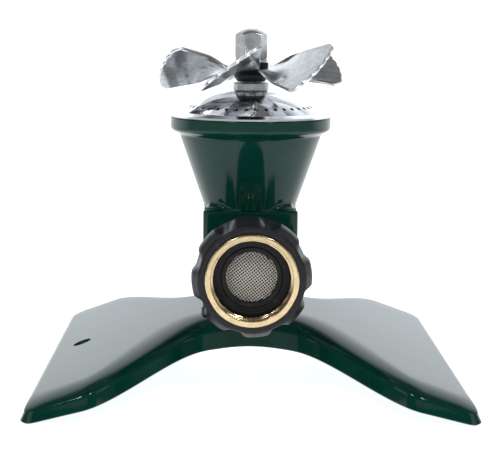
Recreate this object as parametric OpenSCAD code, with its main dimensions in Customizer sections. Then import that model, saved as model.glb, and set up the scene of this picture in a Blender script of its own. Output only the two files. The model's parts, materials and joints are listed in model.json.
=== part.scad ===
// Lawn sprinkler: saddle base, funnel head, perforated dome, pinwheel rotor and hose swivel.
// Millimetres. Origin at the middle of the ground footprint, +Z up, the hose comes from -Y.

/* [Base] */
// Length of the base from side to side
base_length = 142.24; // [130:0.01:160]
// Depth of each wing
base_depth = 137.16; // [125:0.01:150]
// Depth of the waist under the head
waist_depth = 52; // [46:1:60]
// Height of the crest under the head
crest_z = 25.2; // [24:0.1:26]
// Fall of the wings, height per length
wing_slope = 0.38; // [0.34:0.01:0.38]
// Sheet thickness of the base
base_wall = 2; // [1.6:0.1:2.4]
// Diameter of the stake hole in the left wing
stake_hole_d = 6.5; // [5:0.1:8]

/* [Head] */
// Width of the square neck
neck_width = 32; // [30:0.5:33]
// Height of the neck's top above the ground
neck_top_z = 58.7; // [56:0.1:60]
// Outer diameter of the funnel's rim
rim_d = 55.2; // [54.8:0.1:56]
// Height of the rim's top above the ground
rim_top_z = 89.5; // [89.4:0.1:89.6]
// Outer diameter of the funnel where it meets the neck
funnel_foot_d = 31.8; // [30:0.1:32]

/* [Spray dome] */
// Spherical radius of the dome's outer face
dome_radius = 41.9; // [41:0.1:43]
// Radius of the crease between dome and brim
crease_r = 24; // [23.5:0.1:24.3]
// Thickness of the dome plate
dome_wall = 0.6; // [0.5:0.1:0.8]
// Number of spray holes
spray_holes = 40; // [24:1:48]
// Diameter of a spray hole
spray_hole_d = 1.3; // [1:0.1:1.6]

/* [Rotor] */
// Diameter over the blade tips
rotor_d = 63.5; // [60:0.1:66]
// Number of blades
blades = 6; // [4:1:6]
// Pitch of a blade at its tip, in degrees
blade_pitch = 34; // [30:1:38]
// Width of a blade at its tip, along the blade
tip_width = 25; // [22:0.5:26]
// Thickness of the wheel's sheet
rotor_sheet = 1.3; // [1:0.1:1.4]
// Height of the wheel's flat centre above the ground
rotor_z = 104.7; // [104.6:0.1:104.8]
// Angle of the first blade from the front
first_blade = -15; // [-30:1:30]

/* [Spindle and nuts] */
// Thread diameter of the spindle
spindle_d = 4.8; // [4.6:0.1:5]
// Width across the flats of the nuts
nut_flats = 9.525; // [9:0.005:10]
// Overall height of the sprinkler
overall_z = 119.38; // [118:0.01:122]

/* [Hose coupling] */
// Height of the hose axis above the ground
hose_z = 41.5; // [41:0.1:42]
// Distance of the coupling's face in front of the spindle
coupling_face = 52; // [51:0.5:53]
// Diameter inside the hose thread
hose_bore_d = 24.66; // [24.4:0.01:24.8]
// Outer diameter of the brass nut
brass_d = 29.7; // [29.4:0.1:30]
// Diameter over the lobes of the grip
grip_d = 38.4; // [38:0.1:39]
// Number of lobes on the grip
grip_lobes = 8; // [6:1:10]

/* [Hidden] */
$fn = 64;
eps = 0.01;
over = 1;

// Base: plan and heights
half_length = base_length / 2;
half_depth = base_depth / 2;
half_waist = waist_depth / 2;
flare_start = 14;
flare_end = 52;
corner_r = 5;
crest_round = 20;
arch_z = 14.3;
arch_slope = 0.256;
arch_round = 14;
flange_draft = 1;
fillet_share = 0.55;
curve_steps = 16;
corner_steps = 4;
fillet_steps = 4;

// Base: pad under the neck and its screws
pad_top = 25.4;
pad_bottom = 21;
pad_width = 33;
pad_corner_r = 1.7;
screw_place = 11;
screw_r = 2;
screw_hole_r = 2.25;
screw_head_r = 3.6;
screw_head_h = 2.4;
screw_washer_r = 4.2;
screw_washer_t = 0.8;
screw_tip_z = 35.5;
stake_x = -58.4;
stake_y = 0;
stake_tilt = atan(wing_slope * abs(stake_x) / sqrt(stake_x * stake_x + crest_round * crest_round));

// Head
half_neck = neck_width / 2;
neck_edge_r = 1.2;
neck_lap = 1;
edge_steps = 5;
funnel_foot_r = funnel_foot_d / 2;
funnel_top_r = 24.6;
funnel_top_z = rim_top_z - 6.1;
rim_r = rim_d / 2;
rim_bottom_z = rim_top_z - 4.3;
rim_round = 1.2;
funnel_wall = 2.4;
gasket_floor = rim_top_z - 0.7;
gasket_in = 23.4;
gasket_out = 25.5;
chamber_r = 10.5;
chamber_floor = 31;
boss_face = 24;
boss_r = 12.5;
chamber_shoulder = 2;
funnel_start = 3;
gasket_step = 1;
bridge_low = 66;
bridge_high = 74;
bridge_r = 6;
bridge_ribs = 3;
rib_t = 2.4;
rib_inset = 1;
rib_low = bridge_low + rib_inset;
rib_high = bridge_high - rib_inset;

// Spray dome
dome_centre_z = 56.6;
land_z = 98;
brim_r = 27.3;
brim_rise = 0.85;
hole_circle_r = 20.9;
first_hole = -5.2;
dome_edge_z = dome_centre_z + sqrt(dome_radius * dome_radius - crease_r * crease_r);
dome_first = acos((land_z - dome_centre_z) / dome_radius);
dome_last = asin(crease_r / dome_radius);
dome_steps = 16;

// Spindle stack, from the bottom up
spindle_r = spindle_d / 2;
running_gap = 0.05;
nut_roof = 2.5;
spindle_low = 61;
spindle_high = overall_z - nut_roof;
thread_chamfer = 0.4;
lock_nut_h = 3.2;
seal_t = 1.2;
seal_r = 6.2;
support_nut_h = 3.2;
collar_r = 6.1;
collar_top = land_z + 3;
collar_edge = 0.3;
end_float = 0.3;
hub_low = collar_top + end_float;
hub_foot_r = 4.8;
hub_rim_r = 5.9;
hub_edge = 0.2;
hub_flare = 1.6;
hub_taper = 1.2;
sleeve_r = 4;
hub_cap_t = 1.9;
hub_high = rotor_z + rotor_sheet + hub_cap_t;
washer_low = hub_high + end_float;
washer_t = 0.7;
thrust_r = 5.5;
cap_low = washer_low + washer_t;
nut_crown_r = 8;
nut_chamfer = 30;
nut_turn = 4.4;

// Rotor blades
blade_root_r = 5;
wheel_centre_r = 8;
root_width = 6.6;
blade_twist = 1.8;
blade_sheet = rotor_sheet - 0.1;
tip_rise = 0.9;
scallops = 5;
scallop_depth = 0.7;
corner_cut = 1.6;
corner_start = 0.8;
blade_steps = 10;
chord_steps = 20;

// Hose coupling, distances in front of the spindle
grip_face = coupling_face - 1;
grip_back = 31;
grip_taper = 41;
grip_front_taper = 48;
grip_edge = 0.5;
grip_front_r = 17.1;
grip_back_r = 17.4;
valley_r = 4;
valley_depth = 1.9;
first_valley = 28;
thread_mouth = coupling_face - 0.8;
washer_face = 45.5;
washer_back = 42.5;
flange_face = 42.2;
flange_back = 40.2;
nut_wall = 39.9;
relief_r = 13;
washer_out_r = 12.9;
washer_in_r = 8.15;
flange_r = 11;
tube_r = 8.2;
nipple_bore_r = 6.3;
nipple_thread_r = 9.6;
nipple_tip = 12.5;
nipple_hex = 24;
hex_face = 30;
nipple_seal_face = boss_face + 1;
nipple_seal_r = 12;
nut_edge = 0.5;
mesh_t = 0.4;
mesh_rim_r = 9.4;
mesh_crown = 1.4;
mesh_seat = 43.6;
mesh_steps = 8;

function smooth(t) = let(u = min(1, max(0, t))) u * u * (3 - 2 * u);
function smooth_rate(t) = t <= 0 || t >= 1 ? 0 : 6 * t * (1 - t);

// Height of the wing's top, and of the flange's lower edge, over the distance from the crest line
function top_z(x) = crest_z - wing_slope * (sqrt(x * x + crest_round * crest_round) - crest_round);
function edge_z(x) =
    max(0, arch_z - arch_slope * (sqrt(x * x + arch_round * arch_round) - arch_round));

// Half depth of the plan, drawn in by an inset measured square to the edge
function flare(x) = (x - flare_start) / (flare_end - flare_start);
function flare_rate(x) =
    (half_depth - half_waist) * smooth_rate(flare(x)) / (flare_end - flare_start);
function plan_y(x, inset) = half_waist + (half_depth - half_waist) * smooth(flare(x))
    - inset * sqrt(1 + pow(flare_rate(x), 2));

// One quarter of the plan, from the crest line to the end of the corner
function quarter(inset) =
    let(x_end = half_length - inset - corner_r, y_end = half_depth - inset - corner_r)
    concat(
        [for (i = [0:curve_steps]) let(x = x_end * i / curve_steps) [x, plan_y(x, inset)]],
        [for (i = [1:corner_steps]) let(a = 90 - 90 * i / corner_steps)
            [x_end + corner_r * cos(a), y_end + corner_r * sin(a)]]);

// The whole plan, clockwise from the rear of the crest line
function plan(inset) =
    let(q = quarter(inset), n = len(q))
    concat(q,
        [for (i = [n - 1:-1:0]) [q[i][0], -q[i][1]]],
        [for (i = [1:n - 1]) [-q[i][0], -q[i][1]]],
        [for (i = [n - 1:-1:1]) [-q[i][0], q[i][1]]]);

// Fillet radius beside the rim point at distance x
function edge_fillet(x) = fillet_share * (top_z(x) - edge_z(x));

// A ring of the shell: a is the angle round the fillet, skin the distance inside the outer face
function fillet_ring(a, skin) =
    let(rim = plan(0))
    [for (i = [0:len(rim) - 1])
        let(r = edge_fillet(abs(rim[i][0])), in_r = r - skin,
            inset = flange_draft + skin + in_r * (1 - cos(a)),
            p = plan(inset)[i])
        [p[0], p[1], top_z(abs(p[0])) - skin - in_r * (1 - sin(a))]];
function rim_ring(inset) = [for (p = plan(inset)) [p[0], p[1], edge_z(abs(p[0]))]];

shell_rings = concat(
    [for (i = [fillet_steps:-1:0]) fillet_ring(90 * i / fillet_steps, base_wall)],
    [rim_ring(base_wall)],
    [rim_ring(0)],
    [for (i = [0:fillet_steps]) fillet_ring(90 * i / fillet_steps, 0)]);

// Strips that close a ring across join each point to its mirror point at the front or rear
function mate(i, n) = (n + n / 2 - i) % n;
function strip(i, n, first, flip) =
    let(q = [i, i + 1, mate(i + 1, n), mate(i, n)])
    [for (k = flip ? [q[3], q[2], q[1], q[0]] : q) first + k];
function strips(n, first, flip) =
    [for (side = [0, n / 2], i = [0:(n - 2) / 4 - 1]) strip(side + i, n, first, flip)];

// A closed shell whose section runs from the first ring to the last
module ring_shell(rings) {
    n = len(rings[0]);
    last = len(rings) - 1;
    walls = [for (j = [0:last - 1], i = [0:n - 1])
        let(k = (i + 1) % n)
        each [[j * n + i, j * n + k, (j + 1) * n + k], [j * n + i, (j + 1) * n + k, (j + 1) * n + i]]];
    polyhedron(
        points = [for (r = rings) each r],
        faces = concat(walls, strips(n, 0, true), strips(n, last * n, false)),
        convexity = 6);
}

// Square bar with rounded upright edges, from z = low to z = high
module rounded_bar(width, r, low, high) {
    inner = width / 2 - r;
    corner = [for (i = [0:edge_steps])
        let(a = 90 * i / edge_steps) [inner + r * cos(a), inner + r * sin(a)]];
    function turned_corner(k) = [for (p = corner)
        k == 0 ? p : k == 1 ? [-p[1], p[0]] : k == 2 ? [-p[0], -p[1]] : [p[1], -p[0]]];
    translate([0, 0, low])
        linear_extrude(high - low)
            polygon([for (k = [0:3]) each turned_corner(k)]);
}

// Upright cylinder between two heights
module post(r, low, high) {
    translate([0, 0, low])
        cylinder(r = r, h = high - low);
}

// Upright hexagon between two heights, flats apart
module hex_post(flats, low, high) {
    translate([0, 0, low])
        cylinder(d = flats / cos(30), h = high - low, $fn = 6);
}

// Turned part: points are radius and height
module turned(points) {
    rotate_extrude()
        polygon(points);
}

// Round bore along +Z through everything between two heights
module bore(r, low, high) {
    post(r, low - eps, high + eps);
}

module at_base_screws() {
    for (x = [-1, 1], y = [-1, 1])
        translate([x * screw_place, y * screw_place, 0])
            children();
}

// Frame of the hose coupling: local z runs forward from the spindle, local y is up
module hose_frame() {
    translate([0, 0, hose_z])
        rotate([90, 0, 0])
            children();
}

module base() {
    color("darkgreen")
    difference() {
        union() {
            ring_shell(shell_rings);
            rounded_bar(pad_width, pad_corner_r, pad_bottom, pad_top);
        }
        at_base_screws()
            bore(screw_hole_r, pad_bottom, pad_top);
        translate([stake_x, stake_y, top_z(stake_x) - base_wall / 2])
            rotate([0, -stake_tilt, 0])
                cylinder(d = stake_hole_d, h = 4 * base_wall, center = true);
    }
}

module base_screws() {
    color("silver")
    at_base_screws() {
        post(screw_r, pad_bottom - screw_washer_t - eps, screw_tip_z);
        post(screw_head_r, pad_bottom - screw_washer_t - screw_head_h, pad_bottom - screw_washer_t);
    }
}

module base_screw_washers() {
    color("gray")
    at_base_screws()
        difference() {
            post(screw_washer_r, pad_bottom - screw_washer_t, pad_bottom);
            bore(screw_hole_r, pad_bottom - screw_washer_t, pad_bottom);
        }
}

// Space inside the head: water chamber, funnel and the seat of the gasket, up to above the rim
module head_inside() {
    turned([
        [0, chamber_floor],
        [chamber_r, chamber_floor],
        [chamber_r, neck_top_z - chamber_shoulder],
        [funnel_foot_r - funnel_wall, neck_top_z + funnel_start],
        [funnel_top_r - funnel_wall, funnel_top_z],
        [gasket_in, gasket_floor - gasket_step],
        [gasket_in, gasket_floor],
        [gasket_out, gasket_floor],
        [gasket_out, rim_top_z + over],
        [0, rim_top_z + over]]);
}

// Radius at the middle of the funnel's wall
function mid_wall(z) = funnel_foot_r - funnel_wall / 2
    + (funnel_top_r - funnel_foot_r) * (z - neck_top_z) / (funnel_top_z - neck_top_z);

// Boss on three ribs that carries the spindle inside the funnel
module spindle_bridge() {
    for (i = [0:bridge_ribs - 1])
        rotate([0, 0, 90 + i * 360 / bridge_ribs])
            rotate([90, 0, 0])
                linear_extrude(rib_t, center = true)
                    polygon([
                        [bridge_r - rib_inset, rib_low],
                        [mid_wall(rib_low), rib_low],
                        [mid_wall(rib_high), rib_high],
                        [bridge_r - rib_inset, rib_high]]);
    post(bridge_r, bridge_low, bridge_high);
}

module head_body() {
    color("darkgreen")
    difference() {
        union() {
            difference() {
                union() {
                    rounded_bar(neck_width, neck_edge_r, pad_top, neck_top_z);
                    turned([
                        [0, neck_top_z - neck_lap],
                        [funnel_foot_r, neck_top_z - neck_lap],
                        [funnel_foot_r, neck_top_z],
                        [funnel_top_r, funnel_top_z],
                        [rim_r - rim_round, rim_bottom_z],
                        [rim_r, rim_bottom_z + rim_round],
                        [rim_r, rim_top_z],
                        [0, rim_top_z]]);
                    hose_frame()
                        post(boss_r, half_neck - neck_edge_r, boss_face);
                }
                head_inside();
            }
            spindle_bridge();
        }
        bore(spindle_r, bridge_low, bridge_high);
        hose_frame()
            bore(nipple_thread_r, 0, boss_face);
        at_base_screws()
            bore(screw_r, pad_top, screw_tip_z);
    }
}

// Height of the brim's underside at a radius
function brim_under(r) =
    dome_edge_z - dome_wall - brim_rise * (r - crease_r) / (brim_r - crease_r);

module rim_gasket() {
    color("dimgray")
    turned([
        [crease_r, gasket_floor],
        [gasket_out, gasket_floor],
        [gasket_out, brim_under(gasket_out)],
        [crease_r, brim_under(crease_r)]]);
}

// Section through the dome plate, from the spindle hole to the brim's edge and back
function dome_arc(r) = [for (i = [0:dome_steps])
    let(a = dome_first + (dome_last - dome_first) * i / dome_steps)
        [r * sin(a), dome_centre_z + r * cos(a)]];
function reversed(list) = [for (i = [len(list) - 1:-1:0]) list[i]];

module spray_dome() {
    color("gainsboro")
    difference() {
        turned(concat(
            [[spindle_r, land_z]],
            dome_arc(dome_radius),
            [[brim_r, dome_edge_z - brim_rise], [brim_r, brim_under(brim_r)]],
            reversed(dome_arc(dome_radius - dome_wall)),
            [[spindle_r, land_z - dome_wall]]));
        for (i = [0:spray_holes - 1])
            rotate([0, 0, first_hole - 90 + i * 360 / spray_holes])
                translate([0, 0, dome_centre_z])
                    rotate([0, asin(hole_circle_r / dome_radius), 0])
                        bore(spray_hole_d / 2, dome_radius - 2 * dome_wall, dome_radius + dome_wall);
    }
}

module dome_seal() {
    color("black")
    difference() {
        post(seal_r, land_z - dome_wall - seal_t, land_z - dome_wall);
        bore(spindle_r, land_z - dome_wall - seal_t, land_z - dome_wall);
    }
}

module spindle_nut(low, high) {
    difference() {
        hex_post(nut_flats, low, high);
        bore(spindle_r, low, high);
    }
}

module dome_support_nut() {
    color("silver")
    spindle_nut(land_z - dome_wall - seal_t - support_nut_h, land_z - dome_wall - seal_t);
}

module spindle_lock_nut() {
    color("silver")
    spindle_nut(bridge_low - lock_nut_h, bridge_low);
}

module spindle() {
    color("silver")
    turned([
        [0, spindle_low],
        [spindle_r - thread_chamfer, spindle_low],
        [spindle_r, spindle_low + thread_chamfer],
        [spindle_r, spindle_high - thread_chamfer],
        [spindle_r - thread_chamfer, spindle_high],
        [0, spindle_high]]);
}

module collar_nut() {
    color("silver")
    turned([
        [spindle_r, land_z],
        [collar_r, land_z],
        [collar_r, collar_top - collar_edge],
        [collar_r - collar_edge, collar_top],
        [spindle_r, collar_top]]);
}

// Blade: s runs from root to tip, c from the trailing edge (-1) to the leading edge (1)
function blade_turn(s) = blade_pitch * smooth(blade_twist * s);
function blade_half(s) = (root_width + (tip_width - root_width) * s) / 2;
function blade_tip(c) =
    sqrt(pow(rotor_d / 2, 2) - pow(c * tip_width / 2, 2))
    - scallop_depth * (1 - abs(sin(scallops * 90 * (c + 1))))
    - corner_cut * pow(max(0, (abs(c) - corner_start) / (1 - corner_start)), 2);
function blade_point(s, c, side) =
    let(b = blade_turn(s), w = c * blade_half(s), d = side * blade_sheet / 2)
    [blade_root_r + (blade_tip(c) - blade_root_r) * s, w * cos(b) - d * sin(b),
        rotor_z + rotor_sheet / 2 + tip_rise * smooth(s) + w * sin(b) + d * cos(b)];

module blade() {
    m = chord_steps + 1;
    n = (blade_steps + 1) * m;
    function at(i, j, side) = side * n + i * m + j;
    function quad(a, b, c, d) = [[a, b, c], [a, c, d]];
    polyhedron(
        points = [for (side = [-1, 1], i = [0:blade_steps], j = [0:chord_steps])
            blade_point(i / blade_steps, 2 * j / chord_steps - 1, side)],
        faces = concat(
            [for (i = [0:blade_steps - 1], j = [0:chord_steps - 1])
                each quad(at(i, j, 0), at(i + 1, j, 0), at(i + 1, j + 1, 0), at(i, j + 1, 0))],
            [for (i = [0:blade_steps - 1], j = [0:chord_steps - 1])
                each quad(at(i, j, 1), at(i, j + 1, 1), at(i + 1, j + 1, 1), at(i + 1, j, 1))],
            [for (i = [0:blade_steps - 1])
                each quad(at(i, 0, 0), at(i, 0, 1), at(i + 1, 0, 1), at(i + 1, 0, 0))],
            [for (i = [0:blade_steps - 1])
                each quad(at(i, chord_steps, 0), at(i + 1, chord_steps, 0),
                    at(i + 1, chord_steps, 1), at(i, chord_steps, 1))],
            [for (j = [0:chord_steps - 1])
                each quad(at(0, j, 0), at(0, j + 1, 0), at(0, j + 1, 1), at(0, j, 1))],
            [for (j = [0:chord_steps - 1])
                each quad(at(blade_steps, j, 0), at(blade_steps, j, 1),
                    at(blade_steps, j + 1, 1), at(blade_steps, j + 1, 0))]),
        convexity = 6);
}

module rotor_wheel() {
    color("silver")
    difference() {
        union() {
            for (i = [0:blades - 1])
                rotate([0, 0, first_blade - 90 + i * 360 / blades])
                    blade();
            post(wheel_centre_r, rotor_z, rotor_z + rotor_sheet);
        }
        bore(sleeve_r, rotor_z, rotor_z + rotor_sheet);
    }
}

module rotor_hub() {
    color("black")
    turned([
        [spindle_r + running_gap, hub_low],
        [hub_foot_r, hub_low],
        [hub_foot_r + hub_edge, hub_low + hub_edge],
        [hub_rim_r, hub_low + hub_flare],
        [hub_rim_r, rotor_z - hub_taper],
        [hub_foot_r, rotor_z],
        [sleeve_r, rotor_z],
        [sleeve_r, hub_high],
        [spindle_r + running_gap, hub_high]]);
}

module rotor_hub_cap() {
    color("black")
    difference() {
        post(hub_rim_r, rotor_z + rotor_sheet, hub_high);
        bore(sleeve_r, rotor_z + rotor_sheet, hub_high);
    }
}

module thrust_washer() {
    color("silver")
    difference() {
        post(thrust_r, washer_low, cap_low);
        bore(spindle_r, washer_low, cap_low);
    }
}

module cap_nut() {
    color("silver")
    difference() {
        intersection() {
            rotate([0, 0, nut_turn])
                hex_post(nut_flats, cap_low, overall_z);
            translate([0, 0, overall_z - nut_crown_r])
                sphere(r = nut_crown_r);
            turned([
                [0, cap_low],
                [nut_flats / 2, cap_low],
                [nut_flats, cap_low + nut_flats / 2 * tan(nut_chamfer)],
                [nut_flats, overall_z + over],
                [0, overall_z + over]]);
        }
        bore(spindle_r, cap_low, spindle_high);
    }
}

module inlet_nipple() {
    color("goldenrod")
    hose_frame()
        difference() {
            union() {
                post(nipple_thread_r, nipple_tip, nipple_seal_face + eps);
                hex_post(nipple_hex, nipple_seal_face, hex_face);
                post(tube_r, hex_face - eps, flange_back + eps);
                post(flange_r, flange_back, flange_face);
            }
            bore(nipple_bore_r, nipple_tip, flange_face);
        }
}

module nipple_seal() {
    color("firebrick")
    hose_frame()
        difference() {
            post(nipple_seal_r, boss_face, nipple_seal_face);
            bore(nipple_thread_r, boss_face, nipple_seal_face);
        }
}

module swivel_nut() {
    color("gold")
    hose_frame()
        turned([
            [tube_r + running_gap, grip_back],
            [brass_d / 2, grip_back],
            [brass_d / 2, coupling_face - nut_edge],
            [brass_d / 2 - nut_edge, coupling_face],
            [hose_bore_d / 2 + nut_edge, coupling_face],
            [hose_bore_d / 2, thread_mouth],
            [hose_bore_d / 2, washer_face],
            [relief_r, washer_face],
            [relief_r, nut_wall],
            [tube_r + running_gap, nut_wall]]);
}

module grip_cover() {
    lobe_r = grip_d / 2;
    color("#202022")
    hose_frame()
        difference() {
            turned([
                [brass_d / 2, grip_back],
                [grip_back_r, grip_back],
                [lobe_r, grip_taper],
                [lobe_r, grip_front_taper],
                [lobe_r - grip_edge, grip_front_taper + 2 * grip_edge],
                [grip_front_r, grip_face - grip_edge],
                [grip_front_r - grip_edge, grip_face],
                [brass_d / 2, grip_face]]);
            for (i = [0:grip_lobes - 1])
                rotate([0, 0, first_valley + i * 360 / grip_lobes])
                    translate([lobe_r + valley_r - valley_depth, 0, 0])
                        bore(valley_r, grip_back, grip_face);
        }
}

module hose_washer() {
    color("#18181a")
    hose_frame()
        turned([
            [washer_in_r, washer_back],
            [washer_out_r, washer_back],
            [washer_out_r, washer_face],
            [washer_in_r, washer_face],
            [washer_in_r, mesh_seat + mesh_t],
            [mesh_rim_r, mesh_seat + mesh_t],
            [mesh_rim_r, mesh_seat],
            [washer_in_r, mesh_seat]]);
}

// Domed disc that bulges towards the hose, with a flat rim
module filter_screen() {
    curve_r = (washer_in_r * washer_in_r + mesh_crown * mesh_crown) / (2 * mesh_crown);
    span = asin(washer_in_r / curve_r);
    function bulge(z) = [for (i = [0:mesh_steps])
        let(a = span * i / mesh_steps) [curve_r * sin(a), z + mesh_crown - curve_r * (1 - cos(a))]];
    color("lightgray")
    hose_frame()
        turned(concat(
            bulge(mesh_seat),
            [[mesh_rim_r, mesh_seat], [mesh_rim_r, mesh_seat + mesh_t]],
            reversed(bulge(mesh_seat + mesh_t))));
}

base();
base_screws();
base_screw_washers();
head_body();
rim_gasket();
spray_dome();
dome_seal();
dome_support_nut();
spindle();
spindle_lock_nut();
collar_nut();
rotor_wheel();
rotor_hub();
rotor_hub_cap();
thrust_washer();
cap_nut();
inlet_nipple();
nipple_seal();
swivel_nut();
grip_cover();
hose_washer();
filter_screen();
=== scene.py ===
"""Looks of the lawn sprinkler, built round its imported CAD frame.

The object's lengths are in millimetres, and mesh_object() turns them into metres. The floor, the lamps and
the sky are in metres. The hose comes from -Y and +Z is up. A profile is a list of (radius, height), and a
corner list adds a third number, the radius that rounds the corner.
"""
import json
import math

import bmesh
import bpy
from mathutils import Matrix, Vector


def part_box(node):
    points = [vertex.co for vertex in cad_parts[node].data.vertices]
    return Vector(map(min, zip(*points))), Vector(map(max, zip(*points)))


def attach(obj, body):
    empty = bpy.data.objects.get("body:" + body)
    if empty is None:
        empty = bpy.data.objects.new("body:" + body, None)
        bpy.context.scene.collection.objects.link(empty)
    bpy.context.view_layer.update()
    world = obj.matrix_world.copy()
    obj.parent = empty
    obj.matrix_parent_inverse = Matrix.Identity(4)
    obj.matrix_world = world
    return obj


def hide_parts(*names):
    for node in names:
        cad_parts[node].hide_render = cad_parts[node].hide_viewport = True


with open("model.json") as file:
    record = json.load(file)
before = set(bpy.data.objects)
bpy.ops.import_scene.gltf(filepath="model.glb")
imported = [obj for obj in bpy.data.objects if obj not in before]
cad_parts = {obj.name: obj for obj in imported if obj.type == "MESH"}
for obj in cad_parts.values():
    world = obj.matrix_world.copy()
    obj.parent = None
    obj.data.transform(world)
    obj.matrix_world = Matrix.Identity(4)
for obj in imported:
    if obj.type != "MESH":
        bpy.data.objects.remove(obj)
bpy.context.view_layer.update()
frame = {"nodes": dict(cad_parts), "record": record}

MM = 0.001
TURNS = 128
SPINDLE_BORE_R, SLEEVE_R = 2.4, 4.0
# Points nearer than WELD are one point, and edges shorter than SLIVER are dissolved.
WELD, SLIVER = 0.002 * MM, 0.001 * MM
# Distance from an arc's end to the point that keeps the flat beyond it flat, as a share of its radius.
GUARD = 0.2
# Keeps the distance from the axis above zero, so that it can divide.
AXIS_GUARD = 0.0001
# A wave texture of scale 1 draws its rings this far apart, in metres.
RING_SCALE = 0.314


# ---------------------------------------------------------------- camera, floor and light

def camera():
    """Level with the top of the spindle, looking along +Y and a little down."""
    place = Vector((-8.5, -462.8, 121.6)) * MM
    down, turn, roll = (math.radians(a) for a in (8.83, 1.07, 0.55))
    level_share = math.cos(down)
    forward = Vector((math.sin(turn) * level_share, math.cos(turn) * level_share, -math.sin(down)))
    level = Vector((math.cos(turn), -math.sin(turn), 0))
    up = level.cross(forward)
    right = level * math.cos(roll) + up * math.sin(roll)
    data = bpy.data.cameras.new("camera")
    data.sensor_width = 36
    data.lens = 96.624
    data.clip_start = 0.01
    data.clip_end = 50
    made = bpy.data.objects.new("camera", data)
    bpy.context.scene.collection.objects.link(made)
    axes = (right, right.cross(forward), -forward)
    made.matrix_world = Matrix.Translation(place) @ Matrix(axes).transposed().to_4x4()
    bpy.context.scene.camera = made


class Graph:
    """Wires number nodes in a material's or world's node tree."""

    def __init__(self, tree):
        self.nodes, self.links = tree.nodes, tree.links

    def calculate(self, kind, first, second=0.0):
        """Math node on sockets or numbers."""
        node = self.nodes.new("ShaderNodeMath")
        node.operation = kind
        for socket, value in zip(node.inputs, (first, second)):
            if isinstance(value, (int, float)):
                socket.default_value = value
            else:
                self.links.new(value, socket)
        return node.outputs[0]

    def remap(self, value, low, high, start=0.3, end=0.7, interpolation="LINEAR"):
        """Goes from low, up to start, to high, from end on."""
        node = self.nodes.new("ShaderNodeMapRange")
        node.interpolation_type = interpolation
        for socket, number in zip(("From Min", "From Max", "To Min", "To Max"), (start, end, low, high)):
            node.inputs[socket].default_value = number
        self.links.new(value, node.inputs["Value"])
        return node.outputs["Result"]

    def step(self, value, start, end, low, high):
        """As remap, with an eased start and end."""
        return self.remap(value, low, high, start, end, "SMOOTHSTEP")

    def plan(self, output):
        """X, Y and Z of the coordinates, and their distance from the Z axis."""
        split = self.nodes.new("ShaderNodeSeparateXYZ")
        self.links.new(self.nodes.new("ShaderNodeTexCoord").outputs[output], split.inputs[0])
        x, y, z = split.outputs
        squares = self.calculate("ADD", self.calculate("POWER", x, 2), self.calculate("POWER", y, 2))
        return x, y, z, self.calculate("SQRT", self.calculate("ADD", squares, AXIS_GUARD))


def floor():
    """Wide pale table with painted light: an emitted glow round the object that lifts its shadow, and a glow
    that grows towards the back, as a lit paper sweep would look.
    """
    bm = bmesh.new()
    bmesh.ops.create_circle(bm, cap_ends=True, segments=96, radius=30)
    mesh = bpy.data.meshes.new("floor")
    bm.to_mesh(mesh)
    bm.free()
    made = bpy.data.objects.new("floor", mesh)
    bpy.context.scene.collection.objects.link(made)
    look = bpy.data.materials.new("floor")
    look.use_nodes = True
    graph = Graph(look.node_tree)
    shader = graph.nodes["Principled BSDF"]
    shader.inputs["Base Color"].default_value = (0.92, 0.92, 0.92, 1)
    shader.inputs["Roughness"].default_value = 0.9
    shader.inputs["Specular IOR Level"].default_value = 0.1
    shader.inputs["Emission Color"].default_value = (0.98, 1.0, 1.01, 1)
    _, y, _, reach = graph.plan("Object")
    # Painted light: the floor's emission is strongest within 0.28 m of the axis and grows again towards the
    # back.
    painted_glow_round = graph.step(reach, 0.28, 0.50, 0.92, 0.16)
    sweep = graph.step(y, 0.08, 0.45, 0.16, 1.1)
    graph.links.new(graph.calculate("MAXIMUM", painted_glow_round, sweep), shader.inputs["Emission Strength"])
    mesh.materials.append(look)


def softbox(name, place, width, height, radiance, aim=(0, 0, 0.06)):
    """Rectangular lamp that faces the point aim; a radiance of 1 shows as white."""
    data = bpy.data.lights.new(name, "AREA")
    data.shape = "RECTANGLE"
    data.size = width
    data.size_y = height
    data.energy = radiance * math.pi * width * height
    made = bpy.data.objects.new(name, data)
    made.location = place
    made.rotation_euler = (Vector(aim) - Vector(place)).to_track_quat("-Z", "Y").to_euler()
    bpy.context.scene.collection.objects.link(made)


def studio():
    """Bright wall behind, dark room in front, two high lamps, side softboxes and a long front card."""
    world = bpy.data.worlds.new("studio")
    bpy.context.scene.world = world
    world.use_nodes = True
    graph = Graph(world.node_tree)
    _, y, z, reach = graph.plan("Generated")
    facing = graph.calculate("DIVIDE", y, reach)
    behind = graph.step(facing, 0.35, 0.85, 0, 1.15)
    wall = graph.calculate("MULTIPLY", behind, graph.step(z, 0.62, 0.84, 1, 0))
    room = graph.step(facing, -1, 0.4, 0.05, 0.16)
    background = graph.nodes["Background"]
    background.inputs["Color"].default_value = (0.94, 1.0, 1.04, 1)
    graph.links.new(graph.calculate("ADD", wall, room), background.inputs["Strength"])
    softbox("left_key", (-0.42, -0.70, 0.80), width=0.13, height=0.17, radiance=36)
    softbox("right_key", (0.42, -0.70, 0.80), width=0.13, height=0.17, radiance=36)
    softbox("left_softbox", (-1.0, -0.40, 0.42), width=0.50, height=0.50, radiance=1.0)
    softbox("right_softbox", (1.0, -0.35, 0.42), width=0.50, height=0.50, radiance=1.0)
    softbox("front_card", (0.0, -1.50, 0.21), width=1.30, height=0.30, radiance=0.5, aim=(0, 0, 0.21))
    bpy.context.scene.view_settings.view_transform = "Standard"


# ---------------------------------------------------------------- materials

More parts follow.
